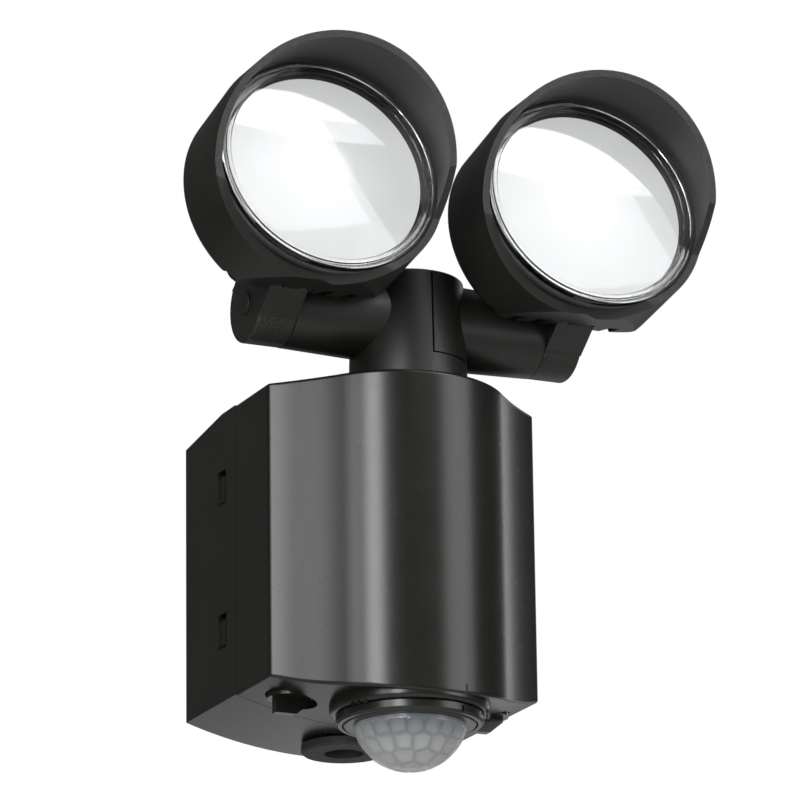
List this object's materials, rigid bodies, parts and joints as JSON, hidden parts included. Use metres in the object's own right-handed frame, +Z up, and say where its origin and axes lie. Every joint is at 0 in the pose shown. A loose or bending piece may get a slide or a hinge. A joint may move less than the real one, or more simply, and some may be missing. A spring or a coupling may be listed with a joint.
{
  "type": "motion sensor security light",
  "caption": "Wall-mounted security light with tilting twin spot heads on a swivelling column and a turning motion sensor dome.",
  "frame": {"origin": "centre of the rear face that lies on the wall", "axes": "+X along the wall to the right as seen from the front, -Y out of the wall, +Z up"},
  "size_m": [0.1822, 0.1394, 0.2357],
  "materials": {
    "housing": "satin",
    "arms": "fine sand texture",
    "heads": "black powder coat",
    "rubber": "matte",
    "lens_clear": "polished",
    "diffuser": "frosted white",
    "dome": "translucent, faceted",
    "reflector_white": "smooth white",
    "led_board": "white solder mask",
    "led_chip": "phosphor",
    "circuit_board": "solder mask",
    "electrics": "moulded",
    "electrics_pale": "moulded",
    "copper_core": "laminated",
    "zinc": "zinc plated",
    "brass": "plain"
  },
  "bodies": {
    "housing": {"rear_box": "housing", "seam_gasket": "rubber", "front_cover": "housing", "cable_gland": "rubber", "terminal_block": "electrics_pale", "terminal_screws": "brass", "cable_clamp": "electrics_pale", "clamp_screws": "zinc", "driver_board": "circuit_board", "driver_screws": "zinc", "transformer": "copper_core", "relay": "electrics", "smoothing_capacitor": "electrics", "filter_capacitor": "electrics_pale", "fuse_link": "electrics_pale", "control_board": "circuit_board", "control_screws": "zinc", "time_pot": "electrics", "dusk_pot": "electrics"},
    "column": {"left_arm": "arms", "right_arm": "arms", "joining_screws": "zinc", "swivel_stud": "zinc", "swivel_washer": "zinc", "swivel_nut": "zinc", "left_tilt_screw": "zinc", "right_tilt_screw": "zinc", "left_tilt_washer": "zinc", "right_tilt_washer": "zinc"},
    "left_head": {"left_lamp_body": "heads", "left_lens_seal": "rubber", "left_lens": "lens_clear", "left_diffuser": "diffuser", "left_reflector": "reflector_white", "left_led_board": "led_board", "left_led": "led_chip", "left_plug": "arms"},
    "right_head": {"right_lamp_body": "heads", "right_lens_seal": "rubber", "right_lens": "lens_clear", "right_diffuser": "diffuser", "right_reflector": "reflector_white", "right_led_board": "led_board", "right_led": "led_chip", "right_plug": "arms"},
    "sensor": {"sensor_ring": "housing", "sensor_bezel": "housing", "sensor_dome": "dome", "sensor_board": "circuit_board", "pir_element": "zinc", "sensor_retainer": "electrics"},
    "time_control": {"time_knob": "housing"},
    "dusk_control": {"dusk_knob": "housing"}
  },
  "joints": [
    {"name": "column_swivel", "type": "hinge", "parent": "housing", "child": "column", "pos_m": [0, -0.0773, 0.0529], "axis": [0, 0, 1], "range_deg": [-40, 40]},
    {"name": "left_tilt", "type": "hinge", "parent": "column", "child": "left_head", "pos_m": [-0.0535, -0.0773, 0.0765], "axis": [-1, 0, 0], "range_deg": [-30, 48]},
    {"name": "right_tilt", "type": "hinge", "parent": "column", "child": "right_head", "pos_m": [0.0535, -0.0773, 0.0765], "axis": [-1, 0, 0], "range_deg": [-30, 48]},
    {"name": "sensor_pan", "type": "hinge", "parent": "housing", "child": "sensor", "pos_m": [0, -0.075, -0.0627], "axis": [0, 0, 1], "range_deg": [-30, 30]},
    {"name": "time_setting", "type": "hinge", "parent": "housing", "child": "time_control", "pos_m": [-0.036, -0.058, -0.0579], "axis": [0, 0, 1], "range_deg": [-135, 135]},
    {"name": "dusk_setting", "type": "hinge", "parent": "housing", "child": "dusk_control", "pos_m": [0.036, -0.058, -0.0579], "axis": [0, 0, 1], "range_deg": [-135, 135]}
  ]
}
